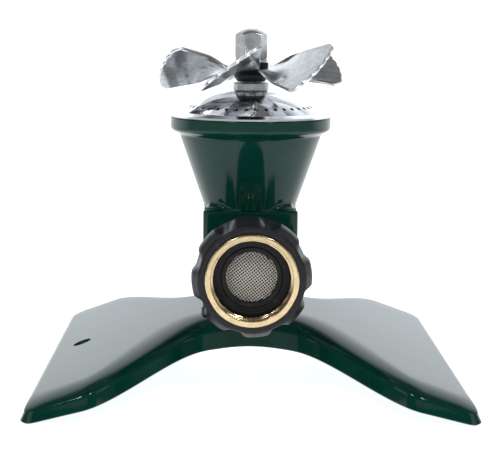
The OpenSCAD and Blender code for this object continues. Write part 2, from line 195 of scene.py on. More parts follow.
class Look(Graph):
    """One procedural material: a Principled shader with object-space noise on colour, gloss and relief."""

    def __init__(self, name, colour, roughness, metallic=0.0):
        self.material = bpy.data.materials.new(name)
        self.material.use_nodes = True
        super().__init__(self.material.node_tree)
        self.shader = self.nodes["Principled BSDF"]
        self.set("Base Color", (*colour, 1))
        self.set("Roughness", roughness)
        self.set("Metallic", metallic)
        self.place = self.nodes.new("ShaderNodeTexCoord")
        self.relief = None

    def set(self, socket, value):
        """Plain value of one of the shader's inputs."""
        self.shader.inputs[socket].default_value = value

    def stretch(self, scale):
        """Object coordinates with their own scale along each axis."""
        node = self.nodes.new("ShaderNodeMapping")
        node.inputs["Scale"].default_value = scale
        self.links.new(self.place.outputs["Object"], node.inputs["Vector"])
        return node.outputs["Vector"]

    def noise(self, size_mm, detail=4, rough=0.55, scale=(1, 1, 1)):
        """Noise whose features are about size_mm across."""
        node = self.nodes.new("ShaderNodeTexNoise")
        node.inputs["Scale"].default_value = 1 / (size_mm * MM)
        node.inputs["Detail"].default_value = detail
        node.inputs["Roughness"].default_value = rough
        self.links.new(self.stretch(scale), node.inputs["Vector"])
        return node.outputs["Fac"]

    def rings(self, pitch_mm, along="Z", distortion=0.4):
        """Fine concentric tool marks about one axis."""
        node = self.nodes.new("ShaderNodeTexWave")
        node.wave_type = "RINGS"
        node.rings_direction = along
        node.inputs["Scale"].default_value = RING_SCALE / (pitch_mm * MM)
        node.inputs["Distortion"].default_value = distortion
        node.inputs["Detail"].default_value = 2
        self.links.new(self.place.outputs["Object"], node.inputs["Vector"])
        return node.outputs["Fac"]

    def edges(self, radius_mm=0.4):
        """1 on worn outer edges, 0 elsewhere, from the mesh's own curvature."""
        convex = 0.53
        node = self.nodes.new("ShaderNodeNewGeometry")
        return self.remap(node.outputs["Pointiness"], 0, 1, convex, convex + 0.1 * radius_mm)

    def mix(self, share, first, second):
        """Blend of two colours, or of a colour socket and a colour."""
        node = self.nodes.new("ShaderNodeMix")
        node.data_type = "RGBA"
        for socket, value in ((node.inputs["A"], first), (node.inputs["B"], second)):
            if isinstance(value, tuple):
                socket.default_value = (*value, 1)
            else:
                self.links.new(value, socket)
        self.links.new(share, node.inputs["Factor"])
        return node.outputs["Result"]

    def colour_from(self, share, first, second):
        """Base colour that goes from the first to the second as share goes from 0 to 1."""
        self.links.new(self.mix(share, first, second), self.shader.inputs["Base Color"])

    def rough_from(self, value, low, high, start=0.3, end=0.7):
        """Roughness that goes from low to high as value goes from start to end."""
        self.links.new(self.remap(value, low, high, start, end), self.shader.inputs["Roughness"])

    def bump(self, height, depth_mm):
        """Relief of the given depth, laid over any earlier one."""
        node = self.nodes.new("ShaderNodeBump")
        node.inputs["Strength"].default_value = 1
        node.inputs["Distance"].default_value = depth_mm * MM
        self.links.new(height, node.inputs["Height"])
        if self.relief:
            self.links.new(self.relief, node.inputs["Normal"])
        self.relief = node.outputs["Normal"]
        self.links.new(self.relief, self.shader.inputs["Normal"])


def green_enamel():
    """Gloss enamel: one clear, slightly wavy surface over a dark green that varies a little."""
    look = Look("green_enamel", (0.001, 0.040, 0.026), 0.1)
    look.set("IOR", 1.36)
    patches = look.remap(look.noise(14), 0, 1)
    look.colour_from(patches, (0.0008, 0.030, 0.021), (0.0016, 0.040, 0.028))
    look.rough_from(look.noise(5, detail=6), 0.06, 0.13)
    look.bump(look.noise(3.2, detail=1), 0.007)
    look.bump(look.noise(16, detail=1), 0.03)
    return look.material


def bare_metal(name, colour, dark, roughness, depth, grain=(1, 1, 1), grain_mm=0.5, mark_mm=2.5):
    """Worn bare metal: grain is the noise's scale along each axis, so a small number stretches it."""
    look = Look(name, colour, roughness, 1.0)
    marks = look.noise(mark_mm, detail=6, rough=0.65)
    look.colour_from(look.remap(marks, 0, 1, 0.35, 0.7), colour, dark)
    look.rough_from(look.noise(mark_mm * 0.8, detail=6), roughness * 0.75, roughness * 1.5)
    look.bump(look.noise(grain_mm, detail=5, scale=grain), depth)
    look.bump(look.noise(mark_mm * 2.5, detail=2), depth * 2)
    return look


def polished_dome():
    """Mirror-polished plate with painted shade: near black wherever it faces sideways, as the holes' walls
    do; the brim isn't shaded.
    """
    look = Look("polished_dome", (0.74, 0.75, 0.77), 0.1, 1.0)
    split = look.nodes.new("ShaderNodeSeparateXYZ")
    look.links.new(look.place.outputs["Normal"], split.inputs[0])
    level = look.nodes.new("ShaderNodeVectorMath")
    level.operation = "LENGTH"
    look.links.new(look.stretch((1, 1, 0)), level.inputs[0])
    brim = look.remap(level.outputs["Value"], 0, 1, 26.2 * MM, 26.8 * MM)
    # skin is 0 on the holes' walls, which get painted shade, and 1 on the outer face and the brim.
    skin = look.calculate("MAXIMUM", look.remap(split.outputs["Z"], 0, 1, 0.45, 0.7), brim)
    clouds = look.remap(look.noise(5, detail=6), 0, 1, 0.35, 0.7)
    polish = look.mix(clouds, (0.78, 0.79, 0.81), (0.66, 0.67, 0.70))
    # Painted shade: the near-black colour goes where skin is 0.
    look.colour_from(skin, (0.012, 0.012, 0.013), polish)
    look.rough_from(look.noise(4, detail=6), 0.07, 0.14)
    look.bump(look.noise(0.5, detail=4), 0.0008)
    look.bump(look.rings(0.28, distortion=1.0), 0.001)
    look.bump(look.noise(13, detail=1), 0.03)
    return look.material


def rotor_aluminium():
    """Rolled sheet with brighter, duller edges where it was sheared."""
    look = Look("rotor_aluminium", (0.74, 0.75, 0.77), 0.19, 1.0)
    edge = look.edges(0.5)
    marks = look.remap(look.noise(1.6, detail=6, rough=0.65), 0, 1, 0.35, 0.7)
    skin = look.mix(marks, (0.64, 0.65, 0.66), (0.45, 0.46, 0.48))
    look.colour_from(edge, skin, (0.93, 0.93, 0.93))
    look.rough_from(edge, 0.19, 0.5, 0, 1)
    look.bump(look.noise(0.5, detail=5), 0.004)
    look.bump(look.noise(9, detail=1), 0.05)
    return look.material


def zinc_steel():
    """Plain plated steel."""
    return bare_metal("zinc_steel", (0.62, 0.62, 0.61), (0.42, 0.42, 0.42), 0.28, 0.006).material


def nut_steel():
    """Drawn hexagon bar, with its grain along Z."""
    return bare_metal("nut_steel", (0.60, 0.60, 0.61), (0.42, 0.42, 0.43), 0.27, 0.006,
                      grain=(1, 1, 0.06), grain_mm=0.35, mark_mm=2).material


def turned_collar():
    """Turned steel, with its grain round Z."""
    return bare_metal("turned_collar", (0.46, 0.46, 0.47), (0.32, 0.32, 0.33), 0.28, 0.008,
                      grain=(0.06, 0.06, 1), grain_mm=0.2, mark_mm=1.5).material


def brass():
    """Machined brass, with tool marks round the hose axis."""
    look = bare_metal("brass", (0.68, 0.54, 0.33), (0.55, 0.42, 0.24), 0.19, 0.0008, mark_mm=3)
    look.bump(look.rings(0.22, along="Y"), 0.002)
    return look.material


def plastic(name, colour, pale, roughness, grain_mm, depth):
    """Moulded plastic or rubber with a fine spark-eroded grain and slightly pale, rubbed edges."""
    look = Look(name, colour, roughness)
    look.set("Specular IOR Level", 0.3)
    worn = look.calculate("MULTIPLY", look.edges(), look.remap(look.noise(1.2), 0.2, 1))
    look.colour_from(worn, colour, pale)
    look.rough_from(look.noise(2.5, detail=6), roughness * 0.85, roughness * 1.2)
    look.bump(look.noise(grain_mm, detail=2), depth)
    return look.material


def black_plastic():
    """Glossy bearing plastic."""
    return plastic("black_plastic", (0.009, 0.009, 0.010), (0.04, 0.04, 0.045), 0.36, 0.35, 0.006)


def grip_plastic():
    """Matt plastic of the grip, very slightly violet."""
    return plastic("grip_plastic", (0.0095, 0.009, 0.0115), (0.034, 0.033, 0.038), 0.42, 0.4, 0.012)


def black_rubber():
    """Dull rubber."""
    return plastic("black_rubber", (0.006, 0.006, 0.007), (0.018, 0.018, 0.02), 0.52, 0.25, 0.01)


def fibre_seal():
    """Red fibre sheet, with its grain across Y."""
    look = Look("fibre_seal", (0.16, 0.03, 0.02), 0.8)
    look.colour_from(look.noise(0.8, scale=(1, 3, 1)), (0.10, 0.018, 0.012), (0.26, 0.06, 0.035))
    look.bump(look.noise(0.3, scale=(1, 4, 1)), 0.04)
    return look.material


def screen_wire():
    """Bright wire of the filter."""
    return bare_metal("screen_wire", (0.95, 0.94, 0.92), (0.84, 0.80, 0.74), 0.4, 0.001,
                      grain_mm=0.2).material


MAKERS = (green_enamel, zinc_steel, nut_steel, turned_collar, polished_dome, rotor_aluminium, black_plastic,
          grip_plastic, black_rubber, brass, fibre_seal, screen_wire)


# ---------------------------------------------------------------- mesh tools

def middle(node):
    """Centre and half size of a CAD node, in millimetres."""
    low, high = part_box(node)
    return (low + high) / 2 / MM, (high - low) / 2 / MM


def size(node):
    """Lowest and highest corner of a CAD node, in millimetres."""
    return (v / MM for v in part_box(node))


def mesh_object(name, points, faces):
    """Mesh from points in millimetres, with doubles welded and normals turned outward."""
    mesh = bpy.data.meshes.new(name)
    mesh.from_pydata([Vector(p) * MM for p in points], [], faces)
    bm = bmesh.new()
    bm.from_mesh(mesh)
    bmesh.ops.remove_doubles(bm, verts=bm.verts, dist=WELD)
    bmesh.ops.dissolve_degenerate(bm, edges=bm.edges, dist=SLIVER)
    bmesh.ops.recalc_face_normals(bm, faces=bm.faces)
    bm.to_mesh(mesh)
    bm.free()
    made = bpy.data.objects.new(name, mesh)
    bpy.context.scene.collection.objects.link(made)
    return made


def cut(made, cutter, operation="DIFFERENCE"):
    """Exact boolean of two closed meshes; the second one is used up."""
    modifier = made.modifiers.new("cut", "BOOLEAN")
    modifier.operation = operation
    modifier.solver = "EXACT"
    modifier.object = cutter
    graph = bpy.context.evaluated_depsgraph_get()
    mesh = bpy.data.meshes.new_from_object(made.evaluated_get(graph))
    made.modifiers.clear()
    made.data = mesh
    bpy.data.objects.remove(cutter)


def piece(made, body, slot, nodes, sharp=38):
    """Shades the mesh, smooth up to sharp degrees, and puts it in the frame in place of its CAD nodes."""
    for polygon in made.data.polygons:
        polygon.use_smooth = True
    made.data.set_sharp_from_angle(angle=math.radians(sharp))
    made.data.materials.clear()
    made.data.materials.append(LOOKS[slot])
    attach(made, body)
    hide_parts(*nodes)


class Patchwork:
    """Points and faces gathered from several sheets; mesh_object() welds them where they meet."""

    def __init__(self):
        self.points, self.faces = [], []

    def add(self, points, faces):
        """Adds one sheet, whose faces count from its own first point."""
        offset = len(self.points)
        self.points += points
        self.faces += [tuple(offset + k for k in face) for face in faces]


def grid(rows, wrap_rows=False, wrap_columns=True):
    """Points and quads of a sheet through rows of equal length."""
    count, width = len(rows), len(rows[0])
    faces = []
    for i in range(count if wrap_rows else count - 1):
        for j in range(width if wrap_columns else width - 1):
            k, m = (i + 1) % count, (j + 1) % width
            faces.append((i * width + j, i * width + m, k * width + m, k * width + j))
    return [p for row in rows for p in row], faces


def capped(rows):
    """Closed sheet: rings joined in order, each end filled by one face."""
    points, faces = grid(rows)
    width = len(rows[0])
    faces.append(tuple(range(width)))
    faces.append(tuple((len(rows) - 1) * width + j for j in range(width)))
    return points, faces


def rounded(corners, closed=True, steps=5):
    """Outline with each corner (x, y, radius) made an arc, and a point just beyond each end of it."""
    out = []
    count = len(corners)
    for i, (x, y, radius) in enumerate(corners):
        here = Vector((x, y))
        if radius <= 0 or (not closed and i in (0, count - 1)):
            out.append(here)
            continue
        back = (Vector(corners[i - 1][:2]) - here).normalized()
        on = (Vector(corners[(i + 1) % count][:2]) - here).normalized()
        half = back.angle(on) / 2
        reach = radius / math.tan(half)
        centre = here + (back + on).normalized() * (radius / math.sin(half))
        start, end = here + back * reach, here + on * reach
        first = math.atan2(start.y - centre.y, start.x - centre.x)
        sweep = (math.atan2(end.y - centre.y, end.x - centre.x) - first + math.pi) % math.tau - math.pi
        out.append(start + back * radius * GUARD)
        for k in range(steps + 1):
            angle = first + sweep * k / steps
            out.append(centre + Vector((math.cos(angle), math.sin(angle))) * radius)
        out.append(end + on * radius * GUARD)
    return out


def swung(profile, angle):
    """Profile turned to an angle about +Z."""
    return [(r * math.cos(angle), r * math.sin(angle), z) for r, z in profile]


def rows_of(columns):
    """Rows of the sheet that has these columns."""
    return [list(row) for row in zip(*columns)]


def spun(profile, turns=TURNS):
    """Rings about +Z, one for each point of the profile."""
    return rows_of([swung(profile, math.tau * j / turns) for j in range(turns)])


def turned(name, profile, closed=True, turns=TURNS):
    """Lathe-turned part about +Z; an open profile is capped at both ends."""
    rings = spun(profile, turns)
    return mesh_object(name, *(grid(rings, wrap_rows=True) if closed else capped(rings)))


def towards_hose(made):
    """Turns a part made about +Z so that +Z becomes -Y, on the hose axis."""
    height = middle("inlet_nipple")[0].z
    made.data.transform(Matrix.Translation((0, 0, height * MM)) @ Matrix.Rotation(math.pi / 2, 4, "X"))
    return made


def square_plan(half, corner, steps=5):
    """Square about the axis with rounded corners."""
    return rounded([(half, half, corner), (-half, half, corner), (-half, -half, corner),
                    (half, -half, corner)], steps=steps)


def smooth(t):
    """Eased step from 0 at t = 0 to 1 at t = 1."""
    t = min(1.0, max(0.0, t))
    return t * t * (3 - 2 * t)


# ---------------------------------------------------------------- base

class Base:
    """The pressed saddle: a sheet that falls away on both sides of the crest, with rolled-down edges."""
    low, high = size("base")
    half_length = (high.x - low.x) / 2
    half_depth = (high.y - low.y) / 2
    pad_top = high.z
    pad_bottom = pad_top - 4.4
    crest = pad_top - 0.2
    half_waist = 26
    flare_start, flare_end = 14, 52
    corner = 5
    wall = 2
    draft = 1
    slope, crest_round = 0.38, 20
    arch, arch_slope, arch_round = 14.3, 0.256, 14
    fillet_share = 0.55
    front_roll, rear_roll, end_roll = 11.5, 6, 2.4
    curve_steps, corner_steps, fillet_steps, across_steps = 56, 8, 14, 14
    lip, outer_lip = 0.35, 0.08
    pad_half, pad_corner, pad_edge, pad_edge_inset = 16.5, 1.7, 0.15, 1
    stake_x, stake_r, stake_reach = -58.4, 3.25, 9
    screw_head_r, screw_bore_r, screw_reach = 3.6, 2.25, 5

    @classmethod
    def top(cls, x):
        """Height of the sheet's outer face."""
        return cls.crest - cls.slope * (math.hypot(x, cls.crest_round) - cls.crest_round)

    @classmethod
    def edge(cls, x):
        """Height of the flange's lower edge, an arch that stands on the ends."""
        return max(0, cls.arch - cls.arch_slope * (math.hypot(x, cls.arch_round) - cls.arch_round))

    @classmethod
    def plan_y(cls, x, inset):
        """Half depth of the plan, moved in by the inset along its normal."""
        t = (x - cls.flare_start) / (cls.flare_end - cls.flare_start)
        widen = cls.half_depth - cls.half_waist
        rate = widen * 6 * t * (1 - t) / (cls.flare_end - cls.flare_start) if 0 < t < 1 else 0
        return cls.half_waist + widen * smooth(t) - inset * math.hypot(1, rate)

    @classmethod
    def quarter(cls, end_inset, inset):
        """Plan from the waist to the middle of one end."""
        end_x = cls.half_length - end_inset - cls.corner
        end_y = cls.half_depth - inset - cls.corner
        side = [(end_x * i / cls.curve_steps, cls.plan_y(end_x * i / cls.curve_steps, inset))
                for i in range(cls.curve_steps + 1)]
        bend = [(end_x + cls.corner * math.cos(a), end_y + cls.corner * math.sin(a))
                for a in (math.pi / 2 * (1 - i / cls.corner_steps) for i in range(1, cls.corner_steps + 1))]
        return side + bend

    @classmethod
    def plan(cls, end_inset, front_inset, rear_inset):
        """Whole plan, in the same order of points for any insets."""
        rear, front = cls.quarter(end_inset, rear_inset), cls.quarter(end_inset, front_inset)
        return (rear + [(x, -y) for x, y in reversed(front)] + [(-x, -y) for x, y in front[1:]]
                + [(-x, y) for x, y in reversed(rear[1:])])

    @classmethod
    def ring(cls, share, skin):
        """A level of the rolled edge: share is 0 where it leaves the flange and 1 where it meets the top."""
        angle = math.pi / 2 * share
        insets = [cls.draft + skin + (roll - skin) * (1 - math.cos(angle))
                  for roll in (cls.end_roll, cls.front_roll, cls.rear_roll)]
        out = []
        for (rim_x, _), (x, y) in zip(cls.plan(0, 0, 0), cls.plan(*insets)):
            drop = cls.fillet_share * (cls.top(abs(rim_x)) - cls.edge(abs(rim_x))) - skin
            out.append((x, y, cls.top(abs(x)) - skin - drop * (1 - math.sin(angle))))
        return out

    @classmethod
    def rim(cls, inset, lift):
        """A level of the flange's lower edge."""
        return [(x, y, cls.edge(abs(x)) + lift) for x, y in cls.plan(inset, inset, inset)]


def top_sheet(ring, skin):
    """Rows across the saddle that close a ring: new points between each point and the one opposite."""
    count = len(ring)
    points, faces = [], []
    steps = Base.across_steps

    def mate(i):
        """Number of the ring point opposite point i, front to rear."""
        return (count + count // 2 - i) % count

    def row(i):
        """Keys of the points from ring point i across to its mate."""
        a, b = Vector(ring[i]), Vector(ring[mate(i)])
        inner = []
        for k in range(1, steps):
            p = a.lerp(b, k / steps)
            points.append((p.x, p.y, Base.top(abs(p.x)) - skin))
            inner.append(("new", len(points) - 1))
        return [("ring", i)] + inner + [("ring", mate(i))]

    reach = (count - 2) // 4
    for side in (0, count // 2):
        last = side + reach
        rows = [row(i) for i in range(side, last)]
        for a, b in zip(rows, rows[1:]):
            for j in range(steps):
                faces.append((a[j], a[j + 1], b[j + 1], b[j]))
        faces.append(tuple(rows[-1]) + (("ring", mate(last)), ("ring", last)))
    return points, faces


def base():
    """Pressed sheet with a flat pad for the head, a stake hole and four screw holes."""
    inner = [Base.ring(1 - i / Base.fillet_steps, Base.wall) for i in range(Base.fillet_steps + 1)]
    outer = [Base.ring(i / Base.fillet_steps, 0) for i in range(Base.fillet_steps + 1)]
    rims = [Base.rim(Base.wall, Base.lip), Base.rim(Base.wall - Base.lip, 0), Base.rim(Base.lip, 0),
            Base.rim(Base.outer_lip, Base.lip)]
    rings = inner + rims + outer
    points, faces = grid(rings)
    count = len(rings[0])
    for ring, first, skin in ((rings[0], 0, Base.wall), (rings[-1], (len(rings) - 1) * count, 0)):
        extra, quads = top_sheet(ring, skin)
        start = len(points)
        points += extra
        faces += [tuple(first + k if kind == "ring" else start + k for kind, k in quad) for quad in quads]
    made = mesh_object("base_shell", points, faces)
    outline = square_plan(Base.pad_half, Base.pad_corner)
    levels = rounded([(0, Base.pad_bottom, 0), (0, Base.pad_top, Base.pad_edge),
                      (-Base.pad_edge_inset, Base.pad_top, 0)], closed=False)
    rows = []
    for offset, z in levels:
        share = 1 + offset / Base.pad_half
        rows.append([(p.x * share, p.y * share, z) for p in outline])
    cut(made, mesh_object("pad", *capped(rows)), "UNION")
    shaft = [(Base.stake_r, -Base.stake_reach), (Base.stake_r, Base.stake_reach)]
    drill = turned("drill", shaft, closed=False, turns=64)
    rate = Base.slope * Base.stake_x / math.hypot(Base.stake_x, Base.crest_round)
    target = Vector((Base.stake_x, 0, Base.top(Base.stake_x) - Base.wall / 2)) * MM
    drill.data.transform(Matrix.Translation(target) @ Matrix.Rotation(math.atan(rate), 4, "Y"))
    cut(made, drill)
    screw_x = middle("base_screws")[1].x - Base.screw_head_r
    shaft = [(Base.screw_bore_r, Base.pad_bottom - Base.screw_reach),
             (Base.screw_bore_r, Base.pad_top + Base.screw_reach)]
    for x in (-screw_x, screw_x):
        for y in (-screw_x, screw_x):
            drill = turned("bore", shaft, closed=False, turns=32)
            drill.data.transform(Matrix.Translation(Vector((x, y, 0)) * MM))
            cut(made, drill)
    piece(made, "stand", "green_enamel", ["base"], sharp=34)


# ---------------------------------------------------------------- head

def head_body():
    """Square neck that blends into the funnel through a small fillet, with the hose boss in front.

    Each column of the casting runs up the outside and down the inside, to a small disc at its floor.
    """
    low, high = size("head_body")
    rim_r = middle("head_body")[1].x
    neck, neck_corner, plan_step = 16, 1.4, 0.9
    shoulder, shoulder_edge = 58.7, 0.9
    foot_r, top_r, top_z = 15.9, 24.6, high.z - 6.1
    flare_least, flare_most, flare_rate, flare_lift = 0.12, 1.9, 0.7, 0.4
    rim_low, seat, seat_r, throat_r = high.z - 4.3, high.z - 0.75, 25.6, 23.4
    chamber_r, channel_r, floor_z, drain_r = 13.5, 10.5, 31, 0.5
    boss_foot, boss_face, boss_r, boss_bore_r = 14.2, 24, 12.5, 9.7

    side = square_plan(neck, neck_corner, steps=7)
    plan = []
    for a, b in zip(side, side[1:] + side[:1]):
        parts = max(1, round((b - a).length / plan_step))
        plan += [a.lerp(b, k / parts) for k in range(parts)]

    slope = (top_r - foot_r) / (top_z - shoulder)
    columns = []
    for p in plan:
        ledge = (p.length - shoulder_edge - foot_r) * flare_rate
        flare = min(flare_most, max(flare_least, ledge))
        near = foot_r + slope * flare * flare_lift
        profile = rounded([(p.length, low.z, 0), (p.length, shoulder, shoulder_edge), (near, shoulder, flare),
                           (top_r, top_z, 1.6), (rim_r, rim_low, 1.5), (rim_r, high.z, 0.5),
                           (seat_r, high.z, 0.2), (seat_r, seat, 0.1), (throat_r, seat, 0.5),
                           (22.2, high.z - 7, 1), (chamber_r, shoulder + 3, 2), (channel_r, shoulder - 2, 1),
                           (channel_r, floor_z, 1), (drain_r, floor_z, 0)], closed=False)
        columns.append(swung(profile, math.atan2(p.y, p.x)))
    made = mesh_object("head_casting", *capped(rows_of(columns)))
    outline = rounded([(11.0, boss_foot, 0), (13.7, 15.6, 0), (boss_r, 16.8, 0.8), (boss_r, boss_face, 0.8),
                       (boss_bore_r, boss_face, 0.3), (boss_bore_r, 13.5, 0)])
    cut(made, towards_hose(turned("boss", outline, turns=94)), "UNION")
    piece(made, "stand", "green_enamel", ["head_body"], sharp=40)


# ---------------------------------------------------------------- spray dome

class Dome:
    """The dome plate: a flat land, a sphere, and a brim beyond a soft crease.

    first is the angle of the first hole from the front, in degrees.
    """
    _, high = size("spray_dome")
    land = high.z
    radius = 41.9
    centre = land - 41.4
    wall = 0.6
    crease = 24
    brim = high.x
    brim_rise = 0.85
    holes = 40
    circle = 20.9
    hole_r = 0.65
    first = -5.2
    bore = SPINDLE_BORE_R
    patch = math.pi * circle / holes

    @classmethod
    def height(cls, r):
        """Height of the outer face."""
        sphere = cls.centre + math.sqrt(cls.radius ** 2 - min(r, cls.crease) ** 2)
        z = min(cls.land, sphere)
        if r > cls.crease:
            z -= cls.brim_rise * (r - cls.crease) / (cls.brim - cls.crease)
        return z

    @classmethod
    def point(cls, r, angle, inner):
        """Point of the outer face, or of the inner one straight below it."""
        z = cls.height(r) - (cls.wall if inner else 0)
        return (r * math.cos(angle), r * math.sin(angle), z)


def spray_dome():
    """Pressed and polished plate with a ring of drilled holes, each in its own patch of the mesh."""
    half = Dome.patch
    side = 8
    columns = Dome.holes * side
    start = math.radians(Dome.first - 90)
    rings_in = [Dome.bore, 3.5, 5, 6.1, 6.4, 6.7, 7.4, 9, 11, 13, 15, 17, 18.3, Dome.circle - half]
    rings_out = [Dome.circle + half, 23, 23.6, 23.85, 24.0, 24.15, 24.5, 25.5, 26.5, 27.1, Dome.brim]
    hole_levels = ((0, 0.02), (0.03, 0), (0.12, 0), (0.35, 0), (0.65, 0), (1, 0))
    plate = Patchwork()

    def ring(r, inner):
        """Ring of points of one face at radius r."""
        return [Dome.point(r, start + math.tau * (j - side / 2) / columns, inner) for j in range(columns)]

    for inner in (False, True):
        for radii in (rings_in, rings_out):
            plate.add(*grid([ring(r, inner) for r in radii]))
    for r in (Dome.bore, Dome.brim):
        plate.add(*grid([ring(r, False), ring(r, True)]))

    steps = [2 * k / side - 1 for k in range(side)]
    square = [(t, -1) for t in steps] + [(1, t) for t in steps]
    square += [(-u, -v) for u, v in square]

    def patch_row(share, inner, centre, sink=0.0):
        """Ring of points that goes from the hole, at share 0, to its patch's square border, at 1."""
        row = []
        for u, v in square:
            turn = math.atan2(v, u)
            x = Dome.hole_r * math.cos(turn) * (1 - share) + half * u * share
            y = Dome.hole_r * math.sin(turn) * (1 - share) + half * v * share
            p = Vector(Dome.point(Dome.circle + y, centre + x / Dome.circle, inner))
            row.append(tuple(p - Vector((0, 0, sink))))
        return row

    for i in range(Dome.holes):
        centre = start + math.tau * i / Dome.holes
        top = [patch_row(share, False, centre, sink) for share, sink in hole_levels]
        bottom = [patch_row(share, True, centre) for share in (1, 0.5, 0)]
        for rows in (top, bottom, [bottom[-1], top[0]]):
            plate.add(*grid(rows))
    made = mesh_object("dome_plate", plate.points, plate.faces)
    piece(made, "stand", "polished_dome", ["spray_dome"], sharp=30)


# ---------------------------------------------------------------- collar, hub and nuts

def ring_part(name, node, body, slot, edges, bore_r):
    """Ring that fills a CAD node's box; edges are the radii that round its foot and its top."""
    low, high = size(node)
    r = (high.x - low.x) / 2
    inner_edge = 0.08
    outline = rounded([(bore_r, low.z, inner_edge), (r, low.z, edges[0]), (r, high.z, edges[1]),
                       (bore_r, high.z, inner_edge)])
    piece(turned(name, outline), body, slot, [node])


def collar_nut():
    """Turned collar with a chamfered foot and top, and a shallow recess round the spindle."""
    low, high = size("collar_nut")
    r = (high.x - low.x) / 2
    recess_r, recess = 3.4, 0.12
    foot, top = 0.5, 0.35
    outline = rounded([(SPINDLE_BORE_R, low.z, 0.05), (r - foot, low.z, 0.15), (r, low.z + foot, 0.2),
                       (r, high.z - top, 0.15), (r - top, high.z, 0.15), (recess_r, high.z, 0.05),
                       (recess_r - recess, high.z - recess, 0), (SPINDLE_BORE_R, high.z - recess, 0.03)])
    piece(turned("spindle_collar", outline), "stand", "turned_collar", ["collar_nut"])


def rotor_hub():
    """Bearing spool: a flange under the wheel and a sleeve through it."""
    low, high = size("rotor_hub")
    r = (high.x - low.x) / 2
    bore_r, foot_r, seat_r = 2.45, 4.8, 4.9
    lower_cone, upper_cone = 1.6, 1.2
    seat = Wheel.flat
    outline = rounded([(bore_r, low.z, 0.1), (foot_r, low.z, 0.25), (r, low.z + lower_cone, 0.35),
                       (r, seat - upper_cone, 0.35), (seat_r, seat, 0.15), (SLEEVE_R, seat, 0),
                       (SLEEVE_R, high.z, 0.1), (bore_r, high.z, 0.1)])
    piece(turned("rotor_bush", outline), "rotor", "black_plastic", ["rotor_hub"])


def hex_radius(angle, flats):
    """Distance from the axis to a hexagon's side; a flat faces angle 0."""
    a = (angle + math.pi / 6) % (math.pi / 3) - math.pi / 6
    return flats / 2 / math.cos(a)


def cap_nut():
    """Domed hexagon nut: chamfered foot, six flats and a crown that meets them in arcs."""
    low, high = size("cap_nut")
    flats, crown_r = 9.525, 8
    facing = math.radians(4.4 - 90)
    per_side, gather = 16, 0.055
    chamfer, chamfer_inset, blend = 0.55, 0.12, 0.3
    wall_steps, crown_steps, crown_share = 4, 13, 12.4
    angles = []
    for side in range(6):
        for k in range(per_side):
            t = k / per_side
            eased = t - gather * math.sin(math.tau * t)
            angles.append(facing - math.pi / 6 + math.pi / 3 * (side + eased))
    crown_centre = high.z - crown_r
    corner = flats / 2 / math.cos(math.pi / 6)
    columns = []
    for a in angles:
        r = hex_radius(a - facing, flats)
        foot = chamfer * max(0.0, r - flats / 2 + chamfer_inset) / (corner - flats / 2)
        wall = low.z + foot + blend
        meet = crown_centre + math.sqrt(crown_r ** 2 - r ** 2)
        profile = [(SPINDLE_BORE_R, low.z), (r - 0.75, low.z), (r - 0.6, low.z), (r - 0.32, low.z + 0.02),
                   (r - 0.05, low.z + foot * 0.8 + 0.02), (r, low.z + foot + 0.12), (r, wall)]
        profile += [(r, wall + (meet - blend - wall) * k / wall_steps) for k in range(1, wall_steps + 1)]
        profile.append((r, meet - 0.1))
        fall = math.asin(r / crown_r)
        for k in range(crown_steps):
            turn = fall * (1 - k / crown_share) - (0.012 if k == 0 else 0)
            profile.append((crown_r * math.sin(turn), crown_centre + crown_r * math.cos(turn)))
        columns.append(swung(profile, a))
    made = mesh_object("cap_nut_shell", *capped(rows_of(columns)))
    piece(made, "stand", "nut_steel", ["cap_nut"], sharp=24)


# ---------------------------------------------------------------- rotor wheel

class Wheel:
    """The pinwheel. flat is the height of its underside, and lean is its rise along X and along Y.

    first is the angle of the first blade from the front, in degrees, and pitches are the blades' own.
    """
    radius = 31.75
    flat = 104.7
    sheet = 1.25
    blades = 6
    first = -15
    pitches = (34.5, 37.5, 30, 29, 29, 33)
    tip_width = 25
    bore = SLEEVE_R
    disc = 6.9
    root_reach, root_width, root_share = 5.2, 6.6, 0.22
    twist = 1.8
    rise = 0.9
    lobes, lobe_depth, lobe_power = 6, 0.6, 0.6
    corner_cut, corner_start = 1.9, 0.78
    lean = (0.018, -0.026)
    lean_rate, sag = 1.5, 0.2
    edge_start = 0.05
    edge_share = 0.62
    edge_inset = 0.02

    @classmethod
    def tip(cls, c):
        """Radial reach at c, from -1 at the trailing corner to 1 at the leading one."""
        arc = math.sqrt(cls.radius ** 2 - (c * cls.tip_width / 2) ** 2)
        bite = cls.lobe_depth * (1 - abs(math.sin(cls.lobes * math.pi / 2 * (c + 1))) ** cls.lobe_power)
        corner = cls.corner_cut * max(0, (abs(c) - cls.corner_start) / (1 - cls.corner_start)) ** 2
        return arc - bite - corner

    @classmethod
    def point(cls, s, c, side, pitch):
        """s runs from the centre disc to the tip; side is -1 underneath and 1 on top."""
        pitch = math.radians(pitch) * smooth(cls.twist * s)
        width = c * (cls.root_width + (cls.tip_width - cls.root_width) * s) / 2
        border = s == 1 or (abs(c) == 1 and s > cls.edge_start)
        off = side * cls.sheet / 2 * (cls.edge_share if border else 1)
        reach = cls.root_reach + (cls.tip(c) - cls.root_reach) * s
        blade = Vector((reach, width * math.cos(pitch) - off * math.sin(pitch),
                        cls.flat + cls.sheet / 2 + cls.rise * smooth(s) + width * math.sin(pitch)
                        + off * math.cos(pitch)))
        turn = c * math.pi / cls.blades
        root = Vector((cls.disc * math.cos(turn), cls.disc * math.sin(turn), cls.flat + cls.sheet / 2 + off))
        return root.lerp(blade, smooth(s / cls.root_share))


